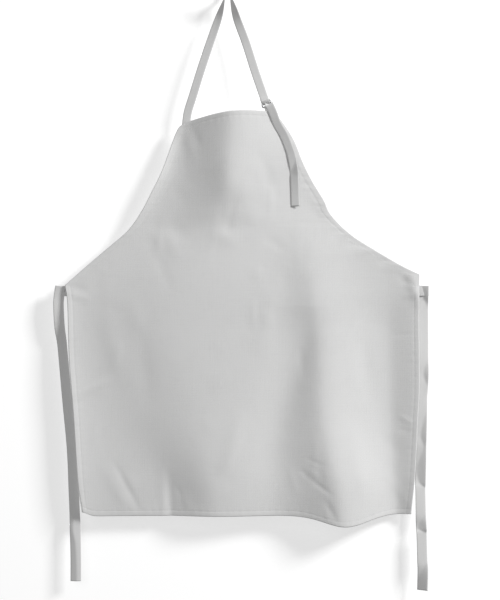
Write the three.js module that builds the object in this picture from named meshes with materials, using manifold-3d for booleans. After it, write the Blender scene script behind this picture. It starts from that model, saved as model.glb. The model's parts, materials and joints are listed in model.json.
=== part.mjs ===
// A cotton bib apron hanging by its neck strap from a steel coat hook. Millimetres, +Z up.
// The origin is the centre of the hook plate's back face. The wall is the plane y = 0, and the apron
// hangs in front of it, towards -Y. The apron itself is drawn about the point where its strap hangs.
import * as THREE from 'three';
import Module from 'manifold-3d';
import { mergeVertices } from 'three/addons/utils/BufferGeometryUtils.js';

// ---- driving dimensions ---------------------------------------------------------------------------
const GAP = 0.3; // clearance between pieces that touch
const PLATE = { width: 24, height: 54, thickness: 3, corner: 8, bevel: 0.5 };
const ROD_RADIUS = 3.5;
const ROD_ABOVE_PLATE_FOOT = 1; // the saddle's height over the plate's lower end
const ROD_REACH = 30; // from the wall to the middle of the saddle
const SADDLE_HALF = 9.5; // half of the saddle's straight length
const TENON_RISE = 13; // the rod leaves the plate this far above its saddle
const ROD_UPTURN = { reach: 25, rise: 12, lean: 20, straight: 7, handle: 8 };
const TIP_RADIUS = 6;
const SCREW = {
  shank: 2, length: 24, point: 5, head: 4.2, rim: 0.6, dome: 2.4, hole: 2.3, low: 3, high: 20,
  recess: { width: 0.9, depth: 1.4, length: 4.4 },
};

const TAPE = { width: 16, thickness: 0.9 }; // the neck strap
const TIE_WIDTH = 20; // the waist ties are of the same tape, but wider
const STRAP_SPREAD = 16; // degrees that each limb leans from the vertical
const BIGHT_STOP = 22; // degrees of wrap left free at each end of the bight, so that the limbs can swing

const CLOTH_THICKNESS = 0.8;
const HEM_THICKNESS = 1.2;
const HEM_WIDTH = 12;
const CLOTH_BACK = 3; // the flat cloth hangs this far behind the saddle
const TOP_RISE = 9; // the bib's upper edge arches up between its corners
const WAIST_SPLIT = { depth: 640, halfGap: 8 }; // where the skirt can be lifted

// Outline of the cut, as [depth below the hanging point, x].
const LEFT_ARMHOLE = [[246, -83], [256, -95], [285, -107], [320, -119], [350, -131], [380, -146],
  [416, -165], [454, -192], [492, -236], [521, -270], [560, -314]];
const RIGHT_ARMHOLE = [[227, 88], [247, 106], [281, 128], [320, 144], [358, 163], [396, 186],
  [423, 199], [462, 238], [494, 288], [523, 338], [539, 371]];
const LEFT_SIDE = [[560, -314], [590, -309], [700, -305], [815, -296], [950, -287], [1006, -279]];
const RIGHT_SIDE = [[539, 371], [600, 370], [760, 371], [820, 368], [935, 362], [1003, 355]];
const HEM_DIP = { x: 228, depth: 20, width: 58 }; // the lower hem hangs lower under the right-hand fold
const HEM_CORNER = { x: -282, rise: 9, width: 16 }; // and its left corner is rounded

// Pleats of the hanging cloth, as [depth, centre x, height towards the viewer, reach to the left, reach to
// the right, roundness of the ridge, softness of the left foot]. A pleat is a soft tent, and a negative
// height is a valley.
const MAIN_PLEAT = [[227, 12, 38, 92, 136, 0.13, 0.06], [281, 10, 38, 99, 138, 0.13, 0.06],
  [330, 5, 36, 100, 124, 0.1, 0.16], [368, 2, 31, 98, 110, 0.08, 0.25],
  [415, -8, 22, 106, 130, 0.14, 0.2], [455, -20, 16, 110, 190, 0.16, 0.2],
  [569, -70, 22, 185, 250, 0.25, 0.25], [646, -100, 21, 165, 230, 0.25, 0.25],
  [800, -60, 18, 130, 165, 0.25, 0.25], [953, -23, 22, 83, 152, 0.2, 0.1],
  [1030, -18, 23, 84, 142, 0.2, 0.06]];
const CENTRE_DIP = [[600, 156, 0, 70, 40, 0.2, 0.25], [690, 140, -10.5, 62, 42, 0.2, 0.25],
  [800, 112, -12.5, 62, 60, 0.2, 0.25], [880, 96, -9, 58, 65, 0.2, 0.25],
  [953, 100, -6, 60, 75, 0.2, 0.25], [1030, 104, -6, 60, 80, 0.2, 0.25]];
const RIGHT_PLEAT = [[440, 160, 0, 60, 70, 0.2, 0.25], [492, 165, 6, 60, 70, 0.2, 0.25],
  [569, 170, 9, 50, 80, 0.15, 0.25], [646, 176, 11, 55, 92, 0.12, 0.25],
  [800, 184, 18, 82, 108, 0.1, 0.25], [953, 212, 29, 104, 118, 0.07, 0.25],
  [1030, 219, 30, 104, 113, 0.07, 0.25]];
const RIGHT_VALLEY = [[500, 300, 0, 110, 60, 0.2, 0.25], [569, 305, -8, 110, 66, 0.2, 0.25],
  [646, 308, -16, 115, 66, 0.15, 0.25], [800, 312, -18, 110, 60, 0.12, 0.25],
  [930, 320, -19, 65, 52, 0.12, 0.25], [985, 326, -22, 68, 44, 0.12, 0.25],
  [1030, 326, -23, 68, 44, 0.12, 0.25]];
const RIGHT_FOOT = 0.25; // how softly a pleat's right foot runs out
// The left edge lifts towards the viewer, as [depth, height, width].
const LEFT_CURL = [[246, 0, 8], [275, 1.5, 9], [300, 4.5, 10], [320, 6, 11], [350, 8, 13], [400, 7, 15],
  [450, 4, 15], [520, 1, 14], [560, 3, 16], [600, 6, 22], [700, 11, 34], [800, 13, 37], [930, 13, 40],
  [1006, 9, 34]];

// Routes of the tapes, as [x, y, height, turn]: the turn is in degrees, 0 with the tape's face to the
// viewer and positive with that face turned to the left.
const LEFT_LIMB = [[-4.1, 0, 1.2, 90], [-18, 0, -46, 24], [-34, 0, -92, 10], [-52, 0.5, -146, 5],
  [-67, 2, -194, 4], [-77, 4.8, -226, 3], [-81, 6.7, -254, 3]];
const RIGHT_LIMB = [[4.1, 0, 1.2, 90], [18, 0, -46, 22], [35, -1.5, -92, 9], [52, -6, -146, 5],
  [66, -12.6, -188, 4], [71, -15.7, -203, 2]];
const TAIL = [[84, -22.5, -216, 5], [88, -20.4, -232, 8], [95, -18, -250.6, 9],
  [108.5, -14.9, -273.6, 9], [118, -11.8, -296.6, 9], [123, -9.8, -312, 8], [127.7, -6.7, -339, 4],
  [129.6, -3.8, -377, 3], [130.6, -3, -408, 3]];
const LEFT_TIE = [[-323, 4, -562, 0], [-326, 5, -582, -8], [-327, 5, -600, -12], [-325, 6, -640, -8],
  [-321, 8, -668, 2], [-318, 9, -700, 8], [-311, 10, -780, 8], [-302, 10, -876, 8], [-298, 9, -960, 8],
  [-296, 8, -1010, 14], [-295, 7, -1045, 14], [-294, 6, -1090, 14], [-294, 6, -1132, 12]];
const RIGHT_TIE = [[379, 7.5, -561, 0], [378.5, 9.5, -580, 4], [378.5, 11, -600, -4],
  [379, 11, -660, -9], [379, 11, -700, -8], [378.5, 11, -750, -4], [377, 11, -775, -8],
  [376.5, 11, -800, -4], [375, 11, -850, -2], [374, 11, -900, -2], [373, 10, -940, -4],
  [373, 9, -960, -9], [373.5, 8, -1000, -6], [374, 7, -1020, 2], [375, 6, -1045, -8],
  [376, 5, -1090, -6], [377, 4, -1110, 4], [376, 3, -1149, 8]];

// The strap's adjuster: two D rings in a keeper loop at the bib's right corner.
const ADJUSTER = { x: 77, height: -217, y: -11, lean: 16 };
const RING = { wire: 1.2, halfWidth: 9.6, rise: 14.4, spacing: 3 };
const KEEPER = { width: 13, wall: 1, drop: 30, pinch: 9, set: 1.4, wrap: 0.3 }; // its legs meet at the pinch

const COLOURS = { steel: 0x8f9396, cloth: 0xd9d9d8, tape: 0xd2d2d0 };
const STEEL = { color: COLOURS.steel, roughness: 0.32, metalness: 1 };
const COTTON = { color: COLOURS.cloth, roughness: 0.92, metalness: 0 };
const WOVEN_TAPE = { color: COLOURS.tape, roughness: 0.88, metalness: 0 };

const { clamp, degToRad, lerp } = THREE.MathUtils;
const wasm = await Module();
wasm.setup();

const part = new THREE.Group();
const apron = new THREE.Group();
const ROD_DROP = PLATE.height / 2 - ROD_ABOVE_PLATE_FOOT;
apron.position.set(0, -ROD_REACH, -ROD_DROP);
part.add(apron);

// ---- helpers --------------------------------------------------------------------------------------
function piece(parent, name, geometry, finish) {
  const mesh = new THREE.Mesh(geometry, new THREE.MeshStandardMaterial(finish));
  mesh.name = name;
  parent.add(mesh);
  return mesh;
}

// A smooth function through rows of [place, value, value, ...].
function through(rows) {
  const slope = (k, n) => {
    const before = rows[Math.max(k - 1, 0)];
    const after = rows[Math.min(k + 1, rows.length - 1)];
    return (after[n] - before[n]) / (after[0] - before[0]);
  };
  return (place) => {
    let k = 0;
    while (k < rows.length - 2 && place > rows[k + 1][0]) k += 1;
    const span = rows[k + 1][0] - rows[k][0];
    const u = clamp((place - rows[k][0]) / span, 0, 1);
    return rows[k].slice(1).map((low, m) => {
      const high = rows[k + 1][m + 1];
      const rising = u * u * (3 - 2 * u);
      const start = u * (1 - u) * (1 - u) * span * slope(k, m + 1);
      const end = -u * u * (1 - u) * span * slope(k + 1, m + 1);
      return lerp(low, high, rising) + start + end;
    });
  };
}

// A closed solid between two grids of points with the same rows and columns.
function slab(front, back) {
  const rows = front.length;
  const columns = front[0].length;
  const points = [...front.flat(), ...back.flat()];
  const at = (side, r, c) => side * rows * columns + r * columns + c;
  const triangles = [];
  const quad = (a, b, c, d) => triangles.push(a, b, c, a, c, d);
  for (let r = 0; r < rows - 1; r += 1) {
    for (let c = 0; c < columns - 1; c += 1) {
      quad(at(0, r, c), at(0, r + 1, c), at(0, r + 1, c + 1), at(0, r, c + 1));
      triangles.push(at(1, r, c), at(1, r + 1, c + 1), at(1, r + 1, c));
      triangles.push(at(1, r, c), at(1, r, c + 1), at(1, r + 1, c + 1));
    }
    quad(at(1, r, 0), at(1, r + 1, 0), at(0, r + 1, 0), at(0, r, 0));
    quad(at(0, r, columns - 1), at(0, r + 1, columns - 1), at(1, r + 1, columns - 1), at(1, r, columns - 1));
  }
  for (let c = 0; c < columns - 1; c += 1) {
    quad(at(0, 0, c), at(0, 0, c + 1), at(1, 0, c + 1), at(1, 0, c));
    quad(at(1, rows - 1, c), at(1, rows - 1, c + 1), at(0, rows - 1, c + 1), at(0, rows - 1, c));
  }
  let volume = 0;
  for (let t = 0; t < triangles.length; t += 3) {
    const [a, b, c] = [points[triangles[t]], points[triangles[t + 1]], points[triangles[t + 2]]];
    volume += a.dot(new THREE.Vector3().crossVectors(b, c));
  }
  if (volume < 0) triangles.reverse();
  const geometry = new THREE.BufferGeometry().setFromPoints(points);
  geometry.setIndex(triangles);
  geometry.computeVertexNormals();
  return geometry;
}

// A flat tape along a route of [x, y, height, turn].
function tape(route, steps, width = TAPE.width) {
  const line = new THREE.CatmullRomCurve3(route.map(([x, y, height]) => new THREE.Vector3(x, y, height)));
  const turns = new THREE.CatmullRomCurve3(route.map(([, , , turn]) => new THREE.Vector3(turn, 0, 0)));
  const front = [];
  const back = [];
  for (let k = 0; k <= steps; k += 1) {
    const middle = line.getPoint(k / steps);
    const along = line.getTangent(k / steps);
    const turn = degToRad(turns.getPoint(k / steps).x);
    const across = new THREE.Vector3(Math.cos(turn), -Math.sin(turn), 0);
    across.addScaledVector(along, -across.dot(along)).normalize();
    const out = new THREE.Vector3().crossVectors(along, across);
    const edge = (side, face) => middle.clone()
      .addScaledVector(across, (side * width) / 2)
      .addScaledVector(out, (face * TAPE.thickness) / 2);
    front.push([edge(-1, 1), edge(1, 1)]);
    back.push([edge(-1, -1), edge(1, -1)]);
  }
  return slab(front, back);
}

function asSolid(geometry) {
  const plain = geometry.clone();
  plain.deleteAttribute('normal');
  plain.deleteAttribute('uv');
  const merged = mergeVertices(plain, 1e-4);
  const vertProperties = new Float32Array(merged.attributes.position.array);
  const triVerts = new Uint32Array(merged.index.array);
  return new wasm.Manifold(new wasm.Mesh({ numProp: 3, vertProperties, triVerts }));
}

function asGeometry(solid) {
  const mesh = solid.getMesh();
  const geometry = new THREE.BufferGeometry();
  geometry.setAttribute('position', new THREE.BufferAttribute(mesh.vertProperties, 3));
  geometry.setIndex(new THREE.BufferAttribute(mesh.triVerts, 1));
  geometry.computeVertexNormals();
  return geometry;
}

// ---- the hook -------------------------------------------------------------------------------------
function addHook() {
  const { width, height, thickness, corner, bevel } = PLATE;
  const [x, z] = [width / 2 - bevel, height / 2 - bevel];
  const outline = new THREE.Shape();
  outline.absarc(x - corner, z - corner, corner, 0, Math.PI / 2);
  outline.absarc(-x + corner, z - corner, corner, Math.PI / 2, Math.PI);
  outline.absarc(-x + corner, -z + corner, corner, Math.PI, 1.5 * Math.PI);
  outline.absarc(x - corner, -z + corner, corner, 1.5 * Math.PI, 2 * Math.PI);
  const tenonHeight = TENON_RISE - ROD_DROP;
  for (const [radius, holeHeight] of [[SCREW.hole, SCREW.low], [SCREW.hole, SCREW.high],
    [ROD_RADIUS + GAP, tenonHeight]]) {
    const hole = new THREE.Path();
    hole.absarc(0, holeHeight, radius + bevel, 0, 2 * Math.PI, true);
    outline.holes.push(hole);
  }
  const plate = new THREE.ExtrudeGeometry(outline, {
    depth: thickness - 2 * bevel,
    bevelThickness: bevel,
    bevelSize: bevel,
    bevelSegments: 1,
    curveSegments: 10,
  });
  plate.translate(0, 0, bevel).rotateX(Math.PI / 2);
  piece(part, 'hook_plate', plate, STEEL);

  // The rod: a tenon through the plate, down to the straight saddle, and up to the tip.
  const point = (y, rise) => new THREE.Vector3(0, -y, rise - ROD_DROP);
  const [saddleBack, saddleFront] = [ROD_REACH - SADDLE_HALF, ROD_REACH + SADDLE_HALF];
  const neck = PLATE.thickness + 2; // where the rod starts to bend down
  const lean = degToRad(ROD_UPTURN.lean);
  const tipTurn = new THREE.Vector3(0, -Math.sin(lean), Math.cos(lean));
  const upturn = point(ROD_REACH + ROD_UPTURN.reach, ROD_UPTURN.rise);
  const rodEnd = upturn.clone().addScaledVector(tipTurn, ROD_UPTURN.straight);
  const route = new THREE.CurvePath();
  route.add(new THREE.LineCurve3(point(GAP, TENON_RISE), point(neck, TENON_RISE)));
  route.add(new THREE.CubicBezierCurve3(point(neck, TENON_RISE), point(saddleBack - 4, TENON_RISE),
    point(neck + 4, 0), point(saddleBack, 0)));
  route.add(new THREE.LineCurve3(point(saddleBack, 0), point(saddleFront, 0)));
  route.add(new THREE.CubicBezierCurve3(point(saddleFront, 0), point(saddleFront + ROD_UPTURN.handle, 0),
    upturn.clone().addScaledVector(tipTurn, -ROD_UPTURN.handle), upturn));
  route.add(new THREE.LineCurve3(upturn, rodEnd));
  const section = new THREE.Shape();
  section.absarc(0, 0, ROD_RADIUS, 0, 2 * Math.PI);
  piece(part, 'hook_arm', new THREE.ExtrudeGeometry(section, {
    steps: 30, extrudePath: route, curveSegments: 6, bevelEnabled: false,
  }), STEEL);

  // The ball tip, bored to take the rod's end.
  const boreRadius = ROD_RADIUS + GAP;
  const boreEnd = 1;
  const mouth = -Math.sqrt(TIP_RADIUS ** 2 - (boreRadius + 0.5) ** 2);
  const profile = [new THREE.Vector2(0, boreEnd), new THREE.Vector2(boreRadius, boreEnd),
    new THREE.Vector2(boreRadius, mouth)];
  const firstAngle = Math.asin(mouth / TIP_RADIUS);
  for (let k = 0; k <= 9; k += 1) {
    const angle = lerp(firstAngle, Math.PI / 2, k / 9);
    profile.push(new THREE.Vector2(k === 9 ? 0 : TIP_RADIUS * Math.cos(angle), TIP_RADIUS * Math.sin(angle)));
  }
  const tip = piece(part, 'hook_tip', new THREE.LatheGeometry(profile, 20), STEEL);
  tip.position.copy(rodEnd).addScaledVector(tipTurn, GAP - boreEnd);
  tip.quaternion.setFromUnitVectors(new THREE.Vector3(0, 1, 0), tipTurn);

  // Two round-headed wood screws with cross recesses, drawn head up and turned to face the room.
  const { shank, length, head, rim, dome, point: taper, recess } = SCREW;
  const crown = GAP + rim;
  const half = [[0, -length], [shank * 0.3, -length + 1], [shank, -length + taper], [shank, GAP], [head, GAP],
    [head, crown], [head * 0.82, crown + dome * 0.6], [head * 0.45, crown + dome * 0.92], [0, crown + dome]];
  for (const [name, screwHeight] of [['screw_lower', SCREW.low], ['screw_upper', SCREW.high]]) {
    let body = asSolid(new THREE.LatheGeometry(half.map(([r, h]) => new THREE.Vector2(r, h)), 20));
    for (const turn of [0, Math.PI / 2]) {
      const slot = new THREE.BoxGeometry(recess.width, 2 * recess.depth, recess.length);
      slot.rotateY(turn).translate(0, crown + dome, 0);
      body = body.subtract(asSolid(slot));
    }
    const screw = piece(part, name, asGeometry(body), STEEL);
    screw.position.set(0, -PLATE.thickness, screwHeight);
    screw.rotation.x = Math.PI;
  }
}

// ---- the apron's cloth ----------------------------------------------------------------------------
const pleats = [MAIN_PLEAT, CENTRE_DIP, RIGHT_PLEAT, RIGHT_VALLEY].map(through);
const leftCurl = through(LEFT_CURL);
const [leftArmhole, rightArmhole, leftSide, rightSide] = [LEFT_ARMHOLE, RIGHT_ARMHOLE, LEFT_SIDE, RIGHT_SIDE]
  .map(through);

// Zero below 0 and the place itself above it, rounded by the softness.
const softStep = (place, softness) => softness * Math.log1p(Math.exp(place / softness));

function pleatHeight(x, [centre, height, leftReach, rightReach, roundness, foot]) {
  const u = (x - centre) / (x < centre ? leftReach : rightReach);
  return height * (softStep(u + 1, foot) - 2 * softStep(u, roundness) + softStep(u - 1, RIGHT_FOOT));
}

// How far the cloth stands towards the viewer.
function fold(x, depth) {
  const [height, width] = leftCurl(depth);
  const [leftEdge] = depth < LEFT_SIDE[0][0] ? leftArmhole(depth) : leftSide(depth);
  const lift = height * Math.exp(-Math.max(x - leftEdge, 0) / width);
  return pleats.reduce((sum, pleat) => sum + pleatHeight(x, pleat(depth)), lift);
}

const clothY = (x, depth) => CLOTH_BACK - fold(x, depth);
const bump = (x, { x: centre, width }) => Math.exp(-(((x - centre) / width) ** 2));

// One row of the cloth: a hem's width at each side and even columns between.
function clothRow(leftX, rightX, hems, columns, depthAt) {
  const inner = columns - 2;
  const row = [];
  for (let c = 0; c <= columns; c += 1) {
    const even = lerp(leftX + hems[0], rightX - hems[1], clamp((c - 1) / inner, 0, 1));
    const x = c === 0 ? leftX : c === columns ? rightX : even;
    const depth = depthAt((x - leftX) / (rightX - leftX), x);
    row.push(new THREE.Vector3(x, clothY(x, depth), -depth));
  }
  return row;
}

// The hem keeps its width across a slanting edge.
const WIDEST_SLANT = 1.8;
function slantedHem(edge, depth) {
  const lean = (edge(depth + 2)[0] - edge(depth - 2)[0]) / 4;
  return HEM_WIDTH * Math.min(Math.hypot(1, lean), WIDEST_SLANT);
}

const BIB_COLUMNS = 16;
const SKIRT_COLUMNS = 20;
const BIB_TOP = { left: LEFT_ARMHOLE[0][0], right: RIGHT_ARMHOLE[0][0] };
const WAIST = { left: LEFT_SIDE[0][0], right: RIGHT_SIDE[0][0] };

function bibGrid() {
  const grid = [];
  const armholeRows = 12;
  const firstShare = HEM_WIDTH / (WAIST.left - BIB_TOP.left);
  const shares = [0];
  for (let r = 0; r <= armholeRows; r += 1) shares.push(lerp(firstShare, 1, r / armholeRows));
  for (const share of shares) {
    const left = lerp(BIB_TOP.left, WAIST.left, share);
    const right = lerp(BIB_TOP.right, WAIST.right, share);
    const slanted = [slantedHem(leftArmhole, left), slantedHem(rightArmhole, right)];
    const hems = share === 1 ? [HEM_WIDTH, HEM_WIDTH] : slanted;
    grid.push(clothRow(leftArmhole(left)[0], rightArmhole(right)[0], hems, BIB_COLUMNS,
      (s) => lerp(left, right, s) - TOP_RISE * Math.sin(Math.PI * s) * (1 - share) ** 2));
  }
  const foot = WAIST_SPLIT.depth - WAIST_SPLIT.halfGap;
  for (const share of [GAP / (foot - WAIST.left), 1 / 3, 2 / 3, 1]) {
    const left = lerp(WAIST.left, foot, share);
    const right = lerp(WAIST.right, foot, share);
    grid.push(clothRow(leftSide(left)[0], rightSide(right)[0], [HEM_WIDTH, HEM_WIDTH], BIB_COLUMNS,
      (s) => lerp(left, right, s)));
  }
  return grid;
}

function skirtGrid() {
  const grid = [];
  const top = WAIST_SPLIT.depth + WAIST_SPLIT.halfGap;
  const lower = { left: LEFT_SIDE.at(-1)[0], right: RIGHT_SIDE.at(-1)[0] };
  const evenRows = 12;
  const lastShare = 1 - HEM_WIDTH / (lower.left - top);
  const shares = [];
  for (let r = 0; r <= evenRows; r += 1) shares.push(lerp(0, lastShare, r / evenRows));
  shares.push(1);
  for (const share of shares) {
    const left = lerp(top, lower.left, share);
    const right = lerp(top, lower.right, share);
    grid.push(clothRow(leftSide(left)[0], rightSide(right)[0], [HEM_WIDTH, HEM_WIDTH], SKIRT_COLUMNS,
      (s, x) => lerp(left, right, s) + share ** 3 * (HEM_DIP.depth * bump(x, HEM_DIP)
        - HEM_CORNER.rise * bump(x, HEM_CORNER))));
  }
  return grid;
}

// Part of a cloth grid as a solid lying between two distances behind the cloth's front face.
function layer(grid, [firstRow, lastRow], [firstColumn, lastColumn], near, far) {
  const shifted = (distance) => grid.slice(firstRow, lastRow + 1).map((row) => row
    .slice(firstColumn, lastColumn + 1)
    .map((point) => new THREE.Vector3(point.x, point.y + distance, point.z)));
  return slab(shifted(near), shifted(far));
}

const FIRST_LAYER = [CLOTH_THICKNESS + GAP, CLOTH_THICKNESS + GAP + HEM_THICKNESS];
const SECOND_LAYER = FIRST_LAYER.map((distance) => distance + HEM_THICKNESS + GAP);

function addCloth() {
  const bib = bibGrid();
  const skirt = skirtGrid();
  const strip = (name, ...place) => piece(apron, name, layer(...place), COTTON);
  const [bibLast, skirtLast] = [bib.length - 1, skirt.length - 1];
  const waistRow = bibLast - 4; // the row through the two waist corners
  strip('bib_panel', bib, [0, bibLast], [0, BIB_COLUMNS], 0, CLOTH_THICKNESS);
  strip('skirt_panel', skirt, [0, skirtLast], [0, SKIRT_COLUMNS], 0, CLOTH_THICKNESS);
  strip('bib_top_hem', bib, [0, 1], [0, BIB_COLUMNS], ...SECOND_LAYER);
  strip('bottom_hem', skirt, [skirtLast - 1, skirtLast], [0, SKIRT_COLUMNS], ...SECOND_LAYER);
  for (const [side, bibColumns, skirtColumns] of [
    ['left', [0, 1], [0, 1]],
    ['right', [BIB_COLUMNS - 1, BIB_COLUMNS], [SKIRT_COLUMNS - 1, SKIRT_COLUMNS]],
  ]) {
    strip(`${side}_armhole_facing`, bib, [0, waistRow], bibColumns, ...FIRST_LAYER);
    strip(`${side}_side_hem_upper`, bib, [waistRow + 1, bibLast], bibColumns, ...FIRST_LAYER);
    strip(`${side}_side_hem_lower`, skirt, [0, skirtLast], skirtColumns, ...FIRST_LAYER);
  }
}

// ---- neck strap, its adjuster and the ties --------------------------------------------------------
function addStrapBight() {
  const inner = ROD_RADIUS + GAP;
  const arc = (radius) => {
    const rows = [];
    for (let k = 0; k <= 12; k += 1) {
      const angle = degToRad(lerp(STRAP_SPREAD + BIGHT_STOP, 180 - STRAP_SPREAD - BIGHT_STOP, k / 12));
      rows.push([-TAPE.width / 2, TAPE.width / 2].map((y) => new THREE.Vector3(
        radius * Math.cos(angle), y, radius * Math.sin(angle))));
    }
    return rows;
  };
  piece(apron, 'strap_bight', slab(arc(inner + TAPE.thickness), arc(inner)), WOVEN_TAPE);
}

function addAdjuster() {
  const holder = new THREE.Group();
  holder.position.set(ADJUSTER.x, ADJUSTER.y, ADJUSTER.height);
  holder.rotation.y = -degToRad(ADJUSTER.lean);
  apron.add(holder);
  const { wire, halfWidth, rise, spacing } = RING;
  const flatHalf = halfWidth - 1.6; // half of the straight bar, up to its bends
  const bend = [[GAP / 2, 0], [flatHalf / 2, 0], [flatHalf, 0.2], [halfWidth, rise / 6],
    [halfWidth * 0.97, rise * 0.42], [halfWidth * 0.75, rise * 0.74], [halfWidth * 0.38, rise * 0.95]];
  const mirrored = bend.map(([x, z]) => [-x, z]).reverse();
  const points = [...bend, [0, rise], ...mirrored].map(([x, z]) => new THREE.Vector3(x, 0, z));
  const section = new THREE.Shape();
  section.absarc(0, 0, wire, 0, 2 * Math.PI);
  for (const [name, y] of [['d_ring_front', -spacing / 2], ['d_ring_back', spacing / 2]]) {
    const ring = new THREE.ExtrudeGeometry(section, {
      steps: 30, extrudePath: new THREE.CatmullRomCurve3(points), curveSegments: 4, bevelEnabled: false,
    });
    piece(holder, name, ring, STEEL).position.y = y;
  }

  // The keeper: a fold of tape round both straight bars, its two legs sewn to the back of the bib.
  const room = { half: spacing / 2 + wire + GAP, height: wire + GAP };
  const shoulder = { half: room.half + KEEPER.wall, height: room.height + KEEPER.wall };
  const legs = KEEPER.wall * 1.1; // half of the two legs' thickness together
  const outline = new THREE.Shape();
  outline.moveTo(KEEPER.set - legs, -KEEPER.drop);
  outline.lineTo(KEEPER.set + legs, -KEEPER.drop);
  outline.lineTo(KEEPER.set + legs, -KEEPER.pinch);
  outline.lineTo(shoulder.half, -room.height);
  outline.absellipse(0, 0, shoulder.half, shoulder.height, -KEEPER.wrap, Math.PI + KEEPER.wrap, false, 0);
  outline.lineTo(KEEPER.set - legs, -KEEPER.pinch);
  outline.closePath();
  const bars = new THREE.Path();
  bars.absellipse(0, 0, room.half, room.height, 0, 2 * Math.PI, true, 0);
  outline.holes.push(bars);
  const keeper = new THREE.ExtrudeGeometry(outline, {
    depth: KEEPER.width, curveSegments: 10, bevelEnabled: false,
  });
  keeper.translate(0, 0, -KEEPER.width / 2).rotateY(Math.PI / 2).rotateX(Math.PI / 2);
  piece(holder, 'ring_keeper', keeper, WOVEN_TAPE);
}

function addTapes() {
  piece(apron, 'strap_left_limb', tape(LEFT_LIMB, 24), WOVEN_TAPE);
  piece(apron, 'strap_right_limb', tape(RIGHT_LIMB, 22), WOVEN_TAPE);
  piece(apron, 'strap_tail', tape(TAIL, 20), WOVEN_TAPE);
  piece(apron, 'left_waist_tie', tape(LEFT_TIE, 40, TIE_WIDTH), WOVEN_TAPE);
  piece(apron, 'right_waist_tie', tape(RIGHT_TIE, 44, TIE_WIDTH), WOVEN_TAPE);
}

addHook();
addCloth();
addStrapBight();
addAdjuster();
addTapes();

export default part;
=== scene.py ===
"""Looks of the bib apron on its coat hook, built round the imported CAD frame.

Lengths in the tables are millimetres from the point where the neck strap hangs; every mesh is in metres.
"""

import json
import math

import bpy
import numpy as np
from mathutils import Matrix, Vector


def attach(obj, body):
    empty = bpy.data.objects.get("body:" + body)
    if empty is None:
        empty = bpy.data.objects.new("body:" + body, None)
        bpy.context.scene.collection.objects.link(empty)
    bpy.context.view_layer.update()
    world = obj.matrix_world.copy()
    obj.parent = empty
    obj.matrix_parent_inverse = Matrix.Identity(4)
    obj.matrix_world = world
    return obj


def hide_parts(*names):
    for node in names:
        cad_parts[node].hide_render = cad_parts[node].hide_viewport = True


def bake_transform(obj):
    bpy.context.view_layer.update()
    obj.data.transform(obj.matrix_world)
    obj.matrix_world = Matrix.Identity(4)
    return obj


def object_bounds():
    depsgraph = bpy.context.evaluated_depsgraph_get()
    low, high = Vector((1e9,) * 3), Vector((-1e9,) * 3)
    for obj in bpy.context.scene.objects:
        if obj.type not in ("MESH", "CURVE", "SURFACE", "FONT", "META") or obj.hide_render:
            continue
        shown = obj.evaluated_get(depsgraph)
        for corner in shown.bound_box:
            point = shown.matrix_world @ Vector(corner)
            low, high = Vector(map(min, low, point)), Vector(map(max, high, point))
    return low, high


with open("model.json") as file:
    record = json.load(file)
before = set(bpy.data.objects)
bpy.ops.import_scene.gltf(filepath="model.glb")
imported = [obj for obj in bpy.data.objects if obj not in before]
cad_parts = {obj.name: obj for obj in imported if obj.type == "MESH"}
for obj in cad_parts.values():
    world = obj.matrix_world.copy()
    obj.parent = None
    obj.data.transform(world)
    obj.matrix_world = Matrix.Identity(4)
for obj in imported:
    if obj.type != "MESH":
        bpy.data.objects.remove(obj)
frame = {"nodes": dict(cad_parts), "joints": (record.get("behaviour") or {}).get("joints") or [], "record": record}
cad_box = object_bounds()

MM = 0.001
JOINTS = {joint["name"]: joint for joint in frame["joints"]}
HANG = np.array(JOINTS["hang_swing"]["pos_m"])  # the middle of the hook's saddle
rng = np.random.default_rng(11)

# ---- the cloth's outline, as in the CAD: [depth below the hanging point, x] --------------------------
LEFT_ARMHOLE = [[246, -83], [256, -95], [285, -107], [320, -119], [350, -131], [380, -146],
                [416, -165], [454, -192], [492, -236], [521, -270], [560, -314]]
RIGHT_ARMHOLE = [[227, 88], [247, 106], [281, 128], [320, 144], [358, 163], [396, 186], [423, 199],
                 [462, 238], [494, 288], [523, 338], [539, 371]]
LEFT_SIDE = [[560, -314], [590, -309], [700, -305], [815, -296], [950, -287], [1006, -279]]
RIGHT_SIDE = [[539, 371], [600, 370], [760, 371], [820, 368], [935, 362], [1003, 355]]
BIB_TOP = (246, 227)  # depths of the bib's left and right corners
WAIST_CORNERS = (560, 539)
SKIRT_FOOT = (1006, 1003)
TOP_RISE = 9  # of the bib's top edge above a straight line
HEM_DIP = (228, 20, 58)  # the low place of the bottom hem: x, drop and width
HEM_CORNER = (-282, 9, 16)  # its rounded left corner: x, rise and width
HEM_WIDTH = 11.0
CLOTH_BACK = 3  # y of the cloth's front face where it lies flat
CLOTH_THICKNESS = 0.6
HEM_THICKNESS = 1.3
STITCH_INSET = 9.8  # from an edge to its row of stitches
STITCH_FLATNESS = 0.7  # a stitch's thickness against its width

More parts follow.
